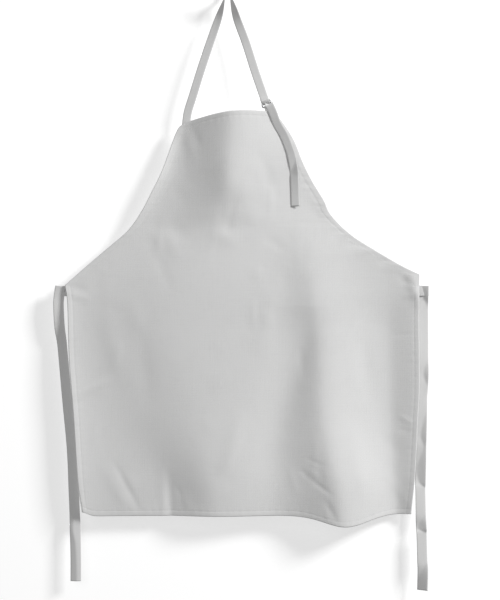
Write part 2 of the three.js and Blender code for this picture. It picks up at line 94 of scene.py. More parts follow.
# Pleats: [depth, centre x, height towards the viewer, reach to the left, reach to the right, roundness of
# the ridge, softness of the left foot]. A negative height is a hollow.
MAIN_PLEAT = [[227, 12, 38, 92, 136, 0.13, 0.06], [281, 10, 38, 99, 138, 0.13, 0.06],
              [330, 5, 36, 100, 124, 0.1, 0.16], [368, 2, 31, 98, 110, 0.08, 0.25],
              [415, -8, 22, 106, 130, 0.14, 0.2], [455, -20, 16, 110, 190, 0.16, 0.2],
              [569, -70, 22, 185, 250, 0.25, 0.25], [646, -100, 21, 165, 230, 0.25, 0.25],
              [800, -60, 18, 130, 165, 0.25, 0.25], [953, -23, 22, 83, 152, 0.2, 0.1],
              [1030, -18, 23, 84, 142, 0.2, 0.06]]
CENTRE_DIP = [[600, 156, 0, 70, 40, 0.2, 0.25], [690, 140, -10.5, 62, 42, 0.2, 0.25],
              [800, 112, -12.5, 62, 60, 0.2, 0.25], [880, 96, -9, 58, 65, 0.2, 0.25],
              [953, 100, -6, 60, 75, 0.2, 0.25], [1030, 104, -6, 60, 80, 0.2, 0.25]]
RIGHT_PLEAT = [[440, 160, 0, 60, 70, 0.2, 0.25], [492, 165, 6, 60, 70, 0.2, 0.25],
               [569, 170, 9, 50, 80, 0.15, 0.25], [646, 176, 11, 55, 92, 0.12, 0.25],
               [800, 184, 18, 82, 108, 0.1, 0.25], [953, 212, 29, 104, 118, 0.07, 0.25],
               [1030, 219, 30, 104, 113, 0.07, 0.25]]
RIGHT_VALLEY = [[500, 300, 0, 110, 60, 0.2, 0.25], [569, 305, -8, 110, 66, 0.2, 0.25],
                [646, 308, -16, 115, 66, 0.15, 0.25], [800, 312, -18, 110, 60, 0.12, 0.25],
                [930, 320, -19, 65, 52, 0.12, 0.25], [985, 326, -22, 68, 44, 0.12, 0.25],
                [1030, 326, -23, 68, 44, 0.12, 0.25]]
# The lift of the cloth at its left edge: [depth, height, width].
LEFT_CURL = [[246, 0, 8], [275, 1.5, 9], [300, 4.5, 10], [320, 6, 11], [350, 8, 13], [400, 7, 15],
             [450, 4, 15], [520, 1, 14], [560, 3, 16], [600, 6, 22], [700, 11, 34], [800, 13, 37],
             [930, 13, 40], [1006, 9, 34]]
RIGHT_FOOT = 0.25  # how softly a pleat's right foot runs out

# Creases: [x and depth of one end, x and depth of the other, height, width]. A negative height is a furrow.
CREASES = [
    [-300, 776, -220, 738, 0.9, 7], [-312, 802, -240, 765, -0.6, 8],  # short ones at the left side
    [-222, 896, -166, 1002, -0.9, 6], [-240, 900, -188, 1006, 0.9, 13],  # the edge of a fold
    [-112, 915, -108, 1080, -1.6, 8], [-128, 900, -122, 1060, 0.6, 8],  # the fold at the lower left
    [-104, 940, -84, 975, -0.4, 5], [-90, 955, -70, 1000, 0.4, 6],
    [149, 892, 190, 909, -0.5, 4], [138, 912, 157, 932, -0.6, 4],  # sharp ones at the lower right
    [153, 928, 206, 967, -0.8, 4.5], [156, 912, 174, 932, 0.6, 6], [186, 970, 212, 1018, -1.0, 6],
    [118, 905, 132, 965, 0.5, 8], [182, 900, 196, 950, 0.4, 7],
    [318, 659, 366, 652, -0.4, 5], [330, 811, 360, 829, 0.7, 5], [326, 838, 362, 846, -0.5, 6],
    [214, 470, 268, 444, 0.8, 7], [228, 486, 276, 470, -0.8, 6],  # pulls along the right armhole
    [246, 500, 292, 486, 0.8, 6], [286, 520, 334, 502, -0.8, 6], [300, 532, 348, 518, 0.7, 6],
    [186, 444, 236, 412, -0.6, 8], [178, 425, 214, 372, 0.6, 8], [196, 470, 250, 440, -0.5, 8],
    [346, 520, 374, 610, 2.6, 10], [330, 548, 372, 562, -0.9, 6],  # the right tie's pull
    [336, 584, 374, 572, 0.8, 6],
    [-314, 574, -262, 588, 0.8, 7], [-312, 566, -270, 566, -0.6, 6],  # the left tie's pull
    [-132, 420, -92, 520, 1.0, 15], [-150, 440, -60, 470, -0.8, 15], [-40, 455, 30, 480, 1.2, 16],
    [-88, 250, -60, 330, 0.6, 10], [-70, 246, -50, 300, -0.5, 8],
    [60, 300, 96, 400, -0.8, 12], [90, 560, 60, 700, 1.0, 18],
    [30, 800, -10, 930, 1.3, 15], [260, 640, 275, 800, -0.9, 16], [240, 820, 262, 990, 0.8, 16],
    [-240, 600, -200, 760, 1.2, 20], [-170, 640, -150, 800, -1.0, 18],
]

# ---- routes of the tapes: [x, y, height, turn], the turn in degrees and 0 facing the viewer ----------
TAPE_WIDTH = 16.0
TIE_WIDTH = 20.0
TAPE_THICKNESS = 0.8
LEFT_LIMB = [[-4.1, 0, 1.2, 90], [-18, 0, -46, 24], [-34, 0, -92, 10], [-52, 0.5, -146, 5],
             [-67, 2, -194, 4], [-77, 4.8, -226, 3], [-81, 6.7, -254, 3]]
RIGHT_LIMB = [[4.1, 0, 1.2, 90], [18, 0, -46, 22], [35, -1.5, -92, 9], [52, -6, -146, 5],
              [66, -12.6, -188, 4], [71, -15.7, -203, 2]]
TAIL = [[84, -22.5, -216, 5], [88, -20.4, -232, 8], [95, -18, -250.6, 9], [108.5, -14.9, -273.6, 9],
        [118, -11.8, -296.6, 9], [123, -9.8, -312, 8], [127.7, -6.7, -339, 4], [129.6, -3.8, -377, 3],
        [130.6, -3, -408, 3]]
LEFT_TIE = [[-323, 4, -562, 0], [-326, 5, -582, -8], [-327, 5, -600, -12], [-325, 6, -640, -8],
            [-321, 8, -668, 2], [-318, 9, -700, 8], [-311, 10, -780, 8], [-302, 10, -876, 8],
            [-298, 9, -960, 8], [-296, 8, -1010, 14], [-295, 7, -1045, 14], [-294, 6, -1090, 14],
            [-294, 6, -1132, 12]]
RIGHT_TIE = [[379, 7.5, -561, 0], [378.5, 9.5, -580, 4], [378.5, 11, -600, -4], [379, 11, -660, -9],
             [379, 11, -700, -8], [378.5, 11, -750, -4], [377, 11, -775, -8], [376.5, 11, -800, -4],
             [375, 11, -850, -2], [374, 11, -900, -2], [373, 10, -940, -4], [373, 9, -960, -9],
             [373.5, 8, -1000, -6], [374, 7, -1020, 2], [375, 6, -1045, -8], [376, 5, -1090, -6],
             [377, 4, -1110, 4], [376, 3, -1149, 8]]

# A tape's lengthwise crease: [depth, place across the tape, -1 at its left edge and 1 at its right one,
# rise]. Right of the crease the tape slopes towards the viewer by the rise, or back where that is negative.
LEFT_TIE_CREASE = [[540, 1.2, 0], [570, 1.0, 0.3], [610, 0.5, 0.4], [665, -0.3, 0.4], [720, -0.2, 0.15],
                   [900, 0.1, 0.1], [985, 0.2, -0.3], [1030, -0.3, -0.5], [1060, 0.1, -0.5],
                   [1135, 0.3, -0.5]]
RIGHT_TIE_CREASE = [[540, 0.4, 0.2], [572, -0.4, 0.34], [602, 0.9, 0.34], [620, 1.2, 0.2], [690, 1.2, 0.2],
                    [732, 0.1, 0.4], [762, 1.1, 0.3], [790, 1.1, 0.3], [850, -0.1, 0.38], [873, 0.5, 0.36],
                    [912, -0.7, 0.38], [942, -0.2, 0.38], [956, 1.2, 0.25], [994, 1.2, 0.25],
                    [1030, -0.6, 0.36], [1042, 1.2, 0.25], [1085, 1.2, 0.25], [1126, -0.9, 0.36],
                    [1160, -1.2, 0.36]]
TAIL_CREASE = [[200, 1.2, 0], [300, 1.2, 0], [322, 0.7, 0.3], [340, -0.6, 0.35], [352, -1.3, 0.2],
               [420, -1.3, 0.1]]


# ---- helpers ----------------------------------------------------------------------------------------
def through(rows):
    """A smooth function through rows of [place, value, ...]; it takes an array of places."""
    table = np.array(rows, float)
    place, values = table[:, 0], table[:, 1:]
    last = len(place) - 1
    before, after = np.maximum(np.arange(last + 1) - 1, 0), np.minimum(np.arange(last + 1) + 1, last)
    slope = (values[after] - values[before]) / (place[after] - place[before])[:, None]

    def at(where):
        where = np.atleast_1d(np.asarray(where, float))
        k = np.clip(np.searchsorted(place, where) - 1, 0, last - 1)
        span = (place[k + 1] - place[k])[:, None]
        u = np.clip((where - place[k])[:, None] / span, 0, 1)
        rising = u * u * (3 - 2 * u)
        return (values[k] * (1 - rising) + values[k + 1] * rising
                + u * (1 - u) ** 2 * span * slope[k] - u * u * (1 - u) * span * slope[k + 1])

    return at


def smooth_line(route, steps):
    """Points on a uniform Catmull-Rom line through the route's rows."""
    rows = np.array(route, float)
    ends = np.vstack([2 * rows[0] - rows[1], rows, 2 * rows[-1] - rows[-2]])
    at = np.linspace(0, len(rows) - 1, steps + 1)
    k = np.minimum(at.astype(int), len(rows) - 2)
    t = (at - k)[:, None]
    a, b, c, d = ends[k], ends[k + 1], ends[k + 2], ends[k + 3]
    squared, cubed = 2 * a - 5 * b + 4 * c - d, 3 * b - a - 3 * c + d
    return 0.5 * (2 * b + (c - a) * t + squared * t ** 2 + cubed * t ** 3)


def unit(vectors):
    return vectors / np.linalg.norm(vectors, axis=-1, keepdims=True)


def make(name, points, faces, material, uvs=None):
    """A mesh object; points are millimetres from the hanging point."""
    mesh = bpy.data.meshes.new(name)
    mesh.from_pydata((np.asarray(points) * MM + HANG).tolist(), [], faces)
    if uvs is not None:
        layer = mesh.uv_layers.new(name="weave")
        corners = np.zeros(len(mesh.loops), int)
        mesh.loops.foreach_get("vertex_index", corners)
        layer.data.foreach_set("uv", np.asarray(uvs, float)[corners].ravel() * MM)
    mesh.shade_smooth()
    mesh.materials.append(material)
    obj = bpy.data.objects.new(name, mesh)
    bpy.context.scene.collection.objects.link(obj)
    return obj


def shell(name, front, back, material, uv):
    """A closed sheet between two grids of points."""
    rows, columns = front.shape[:2]
    number = np.arange(rows * columns).reshape(rows, columns)
    other = number + rows * columns
    faces = []

    def quads(a, b, c, d):
        faces.extend(np.stack([a.ravel(), b.ravel(), c.ravel(), d.ravel()], 1).tolist())

    quads(number[:-1, :-1], number[1:, :-1], number[1:, 1:], number[:-1, 1:])
    quads(other[:-1, :-1], other[:-1, 1:], other[1:, 1:], other[1:, :-1])
    quads(number[:-1, 0], other[:-1, 0], other[1:, 0], number[1:, 0])
    quads(number[:-1, -1], number[1:, -1], other[1:, -1], other[:-1, -1])
    quads(number[0, :-1], number[0, 1:], other[0, 1:], other[0, :-1])
    quads(number[-1, :-1], other[-1, :-1], other[-1, 1:], number[-1, 1:])
    points = np.vstack([front.reshape(-1, 3), back.reshape(-1, 3)])
    uvs = np.vstack([uv.reshape(-1, 2), uv.reshape(-1, 2)])
    return make(name, points, faces, material, uvs)


def strip(name, sections, material, uv):
    """A closed bar through sections, an array of (place, point round the section, xyz)."""
    places, around = sections.shape[:2]
    number = np.arange(places * around).reshape(places, around)
    following = np.roll(number, -1, axis=1)
    faces = np.stack([number[:-1], following[:-1], following[1:], number[1:]], -1).reshape(-1, 4).tolist()
    faces.append(number[0][::-1].tolist())
    faces.append(number[-1].tolist())
    obj = make(name, sections.reshape(-1, 3), faces, material, uv.reshape(-1, 2))
    outward(obj)
    return obj


def outward(obj):
    """Turns a closed mesh's faces outwards if they point in."""
    mesh = obj.data
    mesh.calc_loop_triangles()
    points = np.array([v.co for v in mesh.vertices])
    points = points - points.mean(0)
    corners = np.array([t.vertices for t in mesh.loop_triangles])
    a, b, c = points[corners[:, 0]], points[corners[:, 1]], points[corners[:, 2]]
    if np.einsum("ij,ij->i", a, np.cross(b, c)).sum() < 0:
        mesh.flip_normals()


# ---- the shape of the hanging cloth -----------------------------------------------------------------
pleats = [through(rows) for rows in (MAIN_PLEAT, CENTRE_DIP, RIGHT_PLEAT, RIGHT_VALLEY)]
left_curl = through(LEFT_CURL)
left_armhole, right_armhole, left_side, right_side = [
    through(rows) for rows in (LEFT_ARMHOLE, RIGHT_ARMHOLE, LEFT_SIDE, RIGHT_SIDE)]


def soft_step(place, softness):
    """Zero below 0 and place itself above, rounded by softness."""
    return softness * np.logaddexp(0, place / softness)


def pleat_height(x, centre, height, left_reach, right_reach, roundness, foot):
    """A tent with a rounded ridge and soft feet."""
    u = (x - centre) / np.where(x < centre, left_reach, right_reach)
    return height * (soft_step(u + 1, foot) - 2 * soft_step(u, roundness) + soft_step(u - 1, RIGHT_FOOT))


def left_edge(depth):
    return np.where(depth < LEFT_SIDE[0][0], left_armhole(depth)[:, 0], left_side(depth)[:, 0])


def right_edge(depth):
    return np.where(depth < RIGHT_SIDE[0][0], right_armhole(depth)[:, 0], right_side(depth)[:, 0])


def scattered_wrinkles(count=46):
    """Faint wrinkles over the whole cloth, mostly running down it."""
    rows = []
    for _ in range(count):
        depth = rng.uniform(300, 980)
        low, high = left_edge(np.array([depth]))[0] + 25, right_edge(np.array([depth]))[0] - 25
        x, length = rng.uniform(low, high), rng.uniform(35, 110)
        angle = rng.normal(0, 0.45)
        height = rng.choice([-1, 1]) * rng.uniform(0.2, 0.6)
        rows.append([x, depth, x + length * math.sin(angle), depth + length * math.cos(angle), height,
                     rng.uniform(7, 15)])
    return rows


wrinkles = CREASES + scattered_wrinkles()


def crease_height(x, depth):
    """The height of all creases and wrinkles together."""
    total = np.zeros_like(x)
    for x1, depth1, x2, depth2, height, width in wrinkles:
        run_x, run_depth = x2 - x1, depth2 - depth1
        share = ((x - x1) * run_x + (depth - depth1) * run_depth) / (run_x ** 2 + run_depth ** 2)
        share = np.clip(share, 0, 1)
        apart = (x - x1 - share * run_x) ** 2 + (depth - depth1 - share * run_depth) ** 2
        total = total + height * np.sin(np.pi * share) * np.exp(-apart / width ** 2)
    return total


def edge_relief(inset, along, pucker, rise=0.22):
    """The swell of a hem, the groove of its stitches and the puckers beside it."""
    inset = np.maximum(inset, 0)
    swell = rise * np.sin(np.pi * np.clip(inset / STITCH_INSET, 0, 1))
    groove = -0.22 * np.exp(-(((inset - STITCH_INSET) / 0.9) ** 2))
    waves = np.sin(along / 2.1 + 1.3 * np.sin(along / 17)) + 0.6 * np.sin(along / 3.7 + np.sin(along / 29))
    return swell + groove + pucker * waves * np.exp(-(((inset - STITCH_INSET) / 7) ** 2))


def share_across(x, left_rows, right_rows, row):
    """Where x lies between two edges, from 0 at the left to 1 at the right, at one row of their tables."""
    left, right = left_rows[row][1], right_rows[row][1]
    return np.clip((x - left) / (right - left), 0, 1)


def hem_relief(x, depth):
    """The relief along all edges of the cloth."""
    lean = np.where(depth < LEFT_SIDE[0][0], 0.72, 1.0)  # a level distance shrinks across a slanting edge
    from_left = (x - left_edge(depth)) * lean
    from_right = (right_edge(depth) - x) * lean
    from_top = depth - bib_depth(0.0, share_across(x, LEFT_ARMHOLE, RIGHT_ARMHOLE, 0))
    from_bottom = skirt_depth(1.0, share_across(x, LEFT_SIDE, RIGHT_SIDE, 0), x) - depth
    right_pucker = np.where(depth < RIGHT_SIDE[0][0], 0.22, 0.08)
    return (edge_relief(from_left, depth, 0.07) + edge_relief(from_right, depth, right_pucker, 0.1)
            + edge_relief(from_top, x, 0.08) + edge_relief(from_bottom, x, 0.1))


def fold(x, depth):
    """How far the cloth stands towards the viewer, in millimetres."""
    x, depth = np.asarray(x, float), np.asarray(depth, float)
    flat_x, flat_depth = x.ravel(), depth.ravel()
    height, width = left_curl(flat_depth).T
    total = height * np.exp(-np.maximum(flat_x - left_edge(flat_depth), 0) / width)
    for pleat in pleats:
        total = total + pleat_height(flat_x, *pleat(flat_depth).T)
    total = total + crease_height(flat_x, flat_depth) + hem_relief(flat_x, flat_depth)
    return total.reshape(x.shape)


def on_cloth(x, depth, behind=0.0):
    """Points on the cloth's front face, moved back along its normal."""
    step = 1.0
    slope_x = (fold(x + step, depth) - fold(x - step, depth)) / (2 * step)
    slope_depth = (fold(x, depth + step) - fold(x, depth - step)) / (2 * step)
    normal = unit(np.stack([slope_x, np.ones_like(slope_x), -slope_depth], -1))
    points = np.stack([x, CLOTH_BACK - fold(x, depth), -depth], -1)
    return points + normal * np.asarray(behind)[..., None]


def bump(x, centre, width):
    return np.exp(-(((x - centre) / width) ** 2))


def bib_depth(share, across):
    """Depth at a share of the bib's length and of its width."""
    left = BIB_TOP[0] + (WAIST_CORNERS[0] - BIB_TOP[0]) * share
    right = BIB_TOP[1] + (WAIST_CORNERS[1] - BIB_TOP[1]) * share
    return left + (right - left) * across - TOP_RISE * np.sin(np.pi * across) * (1 - share) ** 2


def skirt_depth(share, across, x):
    """Depth at a share of the skirt's length and of its width."""
    left = WAIST_CORNERS[0] + (SKIRT_FOOT[0] - WAIST_CORNERS[0]) * share
    right = WAIST_CORNERS[1] + (SKIRT_FOOT[1] - WAIST_CORNERS[1]) * share
    dip, corner = [bump(x, place, width) * height for place, height, width in (HEM_DIP, HEM_CORNER)]
    return left + (right - left) * across + share ** 3 * (dip - corner)


# Rows of the grid along each edge, by their distance from it, and where the even rows begin.
EDGE_PLACES = np.array([0.6, 1.6, 4, 7, 8.9, STITCH_INSET, 10.7, 12, 15, 20])
OPEN_CLOTH = 24  # below the top edge and above the bottom one


def slant(edge, depth, corner):
    """How much wider a band of cloth is along a level row where its edge slants."""
    step = 2.0
    lean = (edge(depth + step) - edge(depth - step))[0, 0] / (2 * step)
    near_corner = np.clip((corner - depth) / 14, 0, 1)
    return 1 + (math.hypot(1, lean) - 1) * near_corner


def cloth_grid(columns=176, bib_rows=92, skirt_rows=136):
    """Arrays x and depth of the whole cloth, row by row."""
    xs, depths = [], []
    bib_length, skirt_length = WAIST_CORNERS[0] - BIB_TOP[0], SKIRT_FOOT[0] - WAIST_CORNERS[0]
    bib_shares = np.concatenate([EDGE_PLACES / bib_length,
                                 np.linspace(OPEN_CLOTH / bib_length, 1, bib_rows)])
    skirt_shares = np.concatenate([np.linspace(0, 1 - OPEN_CLOTH / skirt_length, skirt_rows)[1:],
                                   1 - EDGE_PLACES[::-1] / skirt_length])
    for upper, shares in ((True, bib_shares), (False, skirt_shares)):
        for share in shares:
            if upper:
                left = BIB_TOP[0] + bib_length * share
                right = BIB_TOP[1] + (WAIST_CORNERS[1] - BIB_TOP[1]) * share
                ends = left_armhole(left)[0, 0], right_armhole(right)[0, 0]
                slants = (slant(left_armhole, left, WAIST_CORNERS[0]),
                          slant(right_armhole, right, WAIST_CORNERS[1]))
            else:
                left = WAIST_CORNERS[0] + skirt_length * share
                right = WAIST_CORNERS[1] + (SKIRT_FOOT[1] - WAIST_CORNERS[1]) * share
                ends = left_side(left)[0, 0], right_side(right)[0, 0]
                slants = 1, 1
            low, high = ends[0] + EDGE_PLACES * slants[0], ends[1] - EDGE_PLACES[::-1] * slants[1]
            middle = np.linspace(low[-1], high[0], columns)[1:-1]
            x = np.concatenate([low, middle, high])
            across = (x - ends[0]) / (ends[1] - ends[0])
            xs.append(x)
            depths.append(bib_depth(share, across) if upper else skirt_depth(share, across, x))
    return np.array(xs), np.array(depths)


# ---- materials --------------------------------------------------------------------------------------
class Nodes:
    """A short way to write a node material."""

    def __init__(self, name):
        self.material = bpy.data.materials.new(name)
        self.material.use_nodes = True
        self.tree = self.material.node_tree
        self.shader = self.tree.nodes["Principled BSDF"]

    def add(self, kind, **values):
        node = self.tree.nodes.new(kind)
        for key, value in values.items():
            if key in node.inputs:
                node.inputs[key].default_value = value
            else:
                setattr(node, key, value)
        return node

    def join(self, source, target):
        self.tree.links.new(source, target)

    def maths(self, operation, first, second=None):
        node = self.tree.nodes.new("ShaderNodeMath")
        node.operation = operation
        for socket, value in zip(node.inputs, (first, second)):
            if value is None:
                continue
            if isinstance(value, (int, float)):
                socket.default_value = value
            else:
                self.join(value, socket)
        return node.outputs[0]

    def ramp(self, factor, stops):
        node = self.tree.nodes.new("ShaderNodeValToRGB")
        self.join(factor, node.inputs["Fac"])
        while len(node.color_ramp.elements) < len(stops):
            node.color_ramp.elements.new(0.5)
        for element, (place, colour) in zip(node.color_ramp.elements, stops):
            element.position = place
            element.color = (*colour, 1)
        return node.outputs["Color"]


def woven(name, colour, thread, twill=False, slub=1.0, solid=False):
    """Cotton: threads crossing over and under, uneven yarn, and slight mottling."""
    nodes = Nodes(name)
    if solid:  # for a piece with no map of its threads
        where = nodes.add("ShaderNodeSeparateXYZ")
        nodes.join(nodes.add("ShaderNodeTexCoord").outputs["Object"], where.inputs[0])
        flat = nodes.add("ShaderNodeCombineXYZ")
        nodes.join(where.outputs["X"], flat.inputs["X"])
        nodes.join(where.outputs["Z"], flat.inputs["Y"])
        uv = flat.outputs[0]
    else:
        uv = nodes.add("ShaderNodeUVMap", uv_map="weave").outputs["UV"]
    split = nodes.add("ShaderNodeSeparateXYZ")
    nodes.join(uv, split.inputs[0])
    wave_number = math.pi / (thread * MM)
    if twill:
        diagonal = nodes.maths("ADD", split.outputs[0], nodes.maths("MULTIPLY", split.outputs[1], 0.6))
        pattern = nodes.maths("SINE", nodes.maths("MULTIPLY", diagonal, wave_number))
    else:
        warp = nodes.maths("SINE", nodes.maths("MULTIPLY", split.outputs[0], wave_number))
        weft = nodes.maths("SINE", nodes.maths("MULTIPLY", split.outputs[1], wave_number))
        pattern = nodes.maths("MULTIPLY", warp, weft)

    def streaks(stretch, detail):
        scaled = nodes.add("ShaderNodeMapping")
        scaled.inputs["Scale"].default_value = stretch
        nodes.join(uv, scaled.inputs["Vector"])
        noise = nodes.add("ShaderNodeTexNoise", Scale=1.0, Detail=detail, Roughness=0.6)
        nodes.join(scaled.outputs[0], noise.inputs["Vector"])
        return noise.outputs["Fac"]

    long_warp = streaks((620, 14, 1), 2.0)
    long_weft = streaks((16, 560, 1), 2.0)
    mottle = streaks((26, 26, 1), 4.0)
    yarn = nodes.maths("ADD", long_warp, long_weft)
    shade = nodes.maths("ADD", nodes.maths("MULTIPLY", yarn, 0.5), nodes.maths("MULTIPLY", mottle, 0.6))
    tone = nodes.ramp(shade, [(0.3, [c * 0.95 for c in colour]), (0.8, [min(1, c * 1.03) for c in colour])])
    nodes.join(tone, nodes.shader.inputs["Base Color"])
    rough = nodes.ramp(mottle, [(0.3, [0.8] * 3), (0.75, [0.95] * 3)])
    nodes.join(rough, nodes.shader.inputs["Roughness"])
    height = nodes.maths("ADD", nodes.maths("MULTIPLY", pattern, 0.35),
                         nodes.maths("MULTIPLY", yarn, 1.1 * slub))
    relief = nodes.add("ShaderNodeBump", Strength=0.35, Distance=0.00035)
    nodes.join(height, relief.inputs["Height"])
    nodes.join(relief.outputs["Normal"], nodes.shader.inputs["Normal"])
    nodes.shader.inputs["Sheen Weight"].default_value = 0.12
    nodes.shader.inputs["Sheen Roughness"].default_value = 0.6
    nodes.shader.inputs["Specular IOR Level"].default_value = 0.15
    return nodes.material


def metal(name, colour, roughness, grain, wear):
    """Plated steel with fine grain, slight tarnish and rubbed patches."""
    nodes = Nodes(name)
    where = nodes.add("ShaderNodeTexCoord").outputs["Object"]
    stretched = nodes.add("ShaderNodeMapping")
    stretched.inputs["Scale"].default_value = (grain, grain, grain * 0.06)
    nodes.join(where, stretched.inputs["Vector"])
    lines = nodes.add("ShaderNodeTexNoise", Scale=1.0, Detail=3.0, Roughness=0.6)
    nodes.join(stretched.outputs[0], lines.inputs["Vector"])
    patches = nodes.add("ShaderNodeTexNoise", Scale=130.0, Detail=4.0, Roughness=0.55)
    nodes.join(where, patches.inputs["Vector"])
    tone = nodes.ramp(patches.outputs["Fac"], [(0.35, [c * 0.82 for c in colour]), (0.62, colour)])
    nodes.join(tone, nodes.shader.inputs["Base Color"])
    mixed = nodes.maths("ADD", nodes.maths("MULTIPLY", lines.outputs["Fac"], 0.5),
                        nodes.maths("MULTIPLY", patches.outputs["Fac"], wear))
    spread = nodes.ramp(mixed, [(0.25, [roughness * 0.75] * 3), (0.85, [min(1, roughness * 1.5)] * 3)])
    nodes.join(spread, nodes.shader.inputs["Roughness"])
    relief = nodes.add("ShaderNodeBump", Strength=0.12, Distance=0.0001)
    nodes.join(lines.outputs["Fac"], relief.inputs["Height"])
    nodes.join(relief.outputs["Normal"], nodes.shader.inputs["Normal"])
    nodes.shader.inputs["Metallic"].default_value = 1.0
    return nodes.material


def thread_material():
    """Twisted sewing thread, a little brighter than the cloth."""
    nodes = Nodes("thread")
    where = nodes.add("ShaderNodeTexCoord").outputs["Object"]
    twist = nodes.add("ShaderNodeTexNoise", Scale=2600.0, Detail=2.0)
    nodes.join(where, twist.inputs["Vector"])
    tone = nodes.ramp(twist.outputs["Fac"], [(0.35, (0.60, 0.60, 0.595)), (0.65, (0.74, 0.74, 0.73))])
    nodes.join(tone, nodes.shader.inputs["Base Color"])
    relief = nodes.add("ShaderNodeBump", Strength=0.3, Distance=0.0001)
    nodes.join(twist.outputs["Fac"], relief.inputs["Height"])
    nodes.join(relief.outputs["Normal"], nodes.shader.inputs["Normal"])
    nodes.shader.inputs["Roughness"].default_value = 0.6
    nodes.shader.inputs["Sheen Weight"].default_value = 0.2
    return nodes.material


CLOTH_COLOUR = (0.665, 0.665, 0.662)
TAPE_COLOUR = (0.62, 0.62, 0.617)
cloth_look = woven("plain_cotton", CLOTH_COLOUR, 0.55)
tape_look = woven("cotton_tape", TAPE_COLOUR, 0.9, twill=True, slub=0.5)
keeper_look = woven("keeper_tape", TAPE_COLOUR, 0.9, twill=True, slub=0.5, solid=True)
thread_look = thread_material()


# ---- camera, stage and light ------------------------------------------------------------------------
APRON_PLANE = HANG[1] - 0.012  # where the picture's scale holds
VIEW_CENTRE = (HANG[0] + 0.0432, HANG[2] - 0.5885)  # x and height of the picture's middle
PICTURE_HEIGHT = 1.152  # metres of the apron's plane that the picture holds
CAMERA_DISTANCE = 2.6


def add_camera():
    data = bpy.data.cameras.new("camera")
    data.sensor_width = 36
    data.lens = data.sensor_width / PICTURE_HEIGHT * CAMERA_DISTANCE
    camera = bpy.data.objects.new("camera", data)
    camera.location = (VIEW_CENTRE[0], APRON_PLANE - CAMERA_DISTANCE, VIEW_CENTRE[1])
    camera.rotation_euler = (math.pi / 2, 0, 0)
    bpy.context.scene.collection.objects.link(camera)
    bpy.context.scene.camera = camera


def add_stage():
    """A plain pale wall behind the hook and a pale floor, both unseen from behind."""
    nodes = Nodes("pale_wall")
    nodes.shader.inputs["Base Color"].default_value = (0.8, 0.8, 0.8, 1)
    nodes.shader.inputs["Roughness"].default_value = 1.0
    nodes.shader.inputs["Specular IOR Level"].default_value = 0.0
    nodes.shader.inputs["Emission Color"].default_value = (1, 1, 1, 1)
    nodes.shader.inputs["Emission Strength"].default_value = 0.4
    clear = nodes.add("ShaderNodeBsdfTransparent")
    path = nodes.add("ShaderNodeLightPath")
    behind = nodes.add("ShaderNodeNewGeometry").outputs["Backfacing"]
    seen = nodes.maths("MULTIPLY", path.outputs["Is Camera Ray"], nodes.maths("SUBTRACT", 1.0, behind))
    mix = nodes.add("ShaderNodeMixShader")
    nodes.join(seen, mix.inputs[0])
    nodes.join(clear.outputs[0], mix.inputs[1])
    nodes.join(nodes.shader.outputs[0], mix.inputs[2])
    nodes.join(mix.outputs[0], nodes.tree.nodes["Material Output"].inputs["Surface"])
    low, half, back = cad_box[0].z - 0.05, 3.0, 0.0004
    top, front = 2.2, -4.0
    corners = {
        "wall": [(-half, back, low), (half, back, low), (half, back, top), (-half, back, top)],
        "floor": [(-half, front, low), (half, front, low), (half, back, low), (-half, back, low)],
    }
    for name, points in corners.items():
        mesh = bpy.data.meshes.new(name)
        mesh.from_pydata(points, [], [(0, 1, 2, 3)])
        mesh.materials.append(nodes.material)
        obj = bpy.data.objects.new(name, mesh)
        bpy.context.scene.collection.objects.link(obj)


def area_light(name, place, target, size, power):
    data = bpy.data.lights.new(name, "AREA")
    data.shape = "SQUARE"
    data.size = size
    data.energy = power
    light = bpy.data.objects.new(name, data)
    light.location = place
    light.rotation_euler = (Vector(target) - Vector(place)).to_track_quat("-Z", "Y").to_euler()
    bpy.context.scene.collection.objects.link(light)


def add_light():
    middle = (VIEW_CENTRE[0], APRON_PLANE, VIEW_CENTRE[1])
    area_light("key", (3.2, -1.9, 1.6), middle, 1.0, 182)
    area_light("front_fill", (-1.2, -3.4, 0.4), middle, 2.6, 17)
    area_light("rear_fill", (-0.6, 2.6, 0.6), middle, 2.4, 60)
    world = bpy.data.worlds.new("studio")
    world.use_nodes = True
    world.node_tree.nodes["Background"].inputs["Color"].default_value = (1, 1, 1, 1)
    world.node_tree.nodes["Background"].inputs["Strength"].default_value = 0.33
    bpy.context.scene.world = world
    bpy.context.scene.view_settings.view_transform = "Standard"


# ---- the cloth, its hems and its stitches -----------------------------------------------------------
def add_cloth():
    """The bib and the skirt as one cloth."""
    x, depth = cloth_grid()
    front, back = on_cloth(x, depth), on_cloth(x, depth, np.full(x.shape, CLOTH_THICKNESS))
    uv = np.stack([x, depth], -1)
    return shell("apron_cloth", front, back, cloth_look, uv)


ROLL = HEM_THICKNESS / 2 + 0.3  # radius of a hem's rolled edge
ROLL_STEPS = 7
# A hem's section: [inset from the edge, how far behind the front face], over the roll and along the flap.
HEM_SECTION = (
    [(ROLL - ROLL * math.sin(math.pi * k / ROLL_STEPS), ROLL - ROLL * math.cos(math.pi * k / ROLL_STEPS))
     for k in range(ROLL_STEPS + 1)]
    + [(inset, 2 * ROLL) for inset in (3, 6, 9, HEM_WIDTH)]
    + [(HEM_WIDTH + 0.7, 1.5 * ROLL), (HEM_WIDTH + 0.4, 0.75 * ROLL)]
    + [(inset, 0.6 * ROLL) for inset in (8, 4)]
)


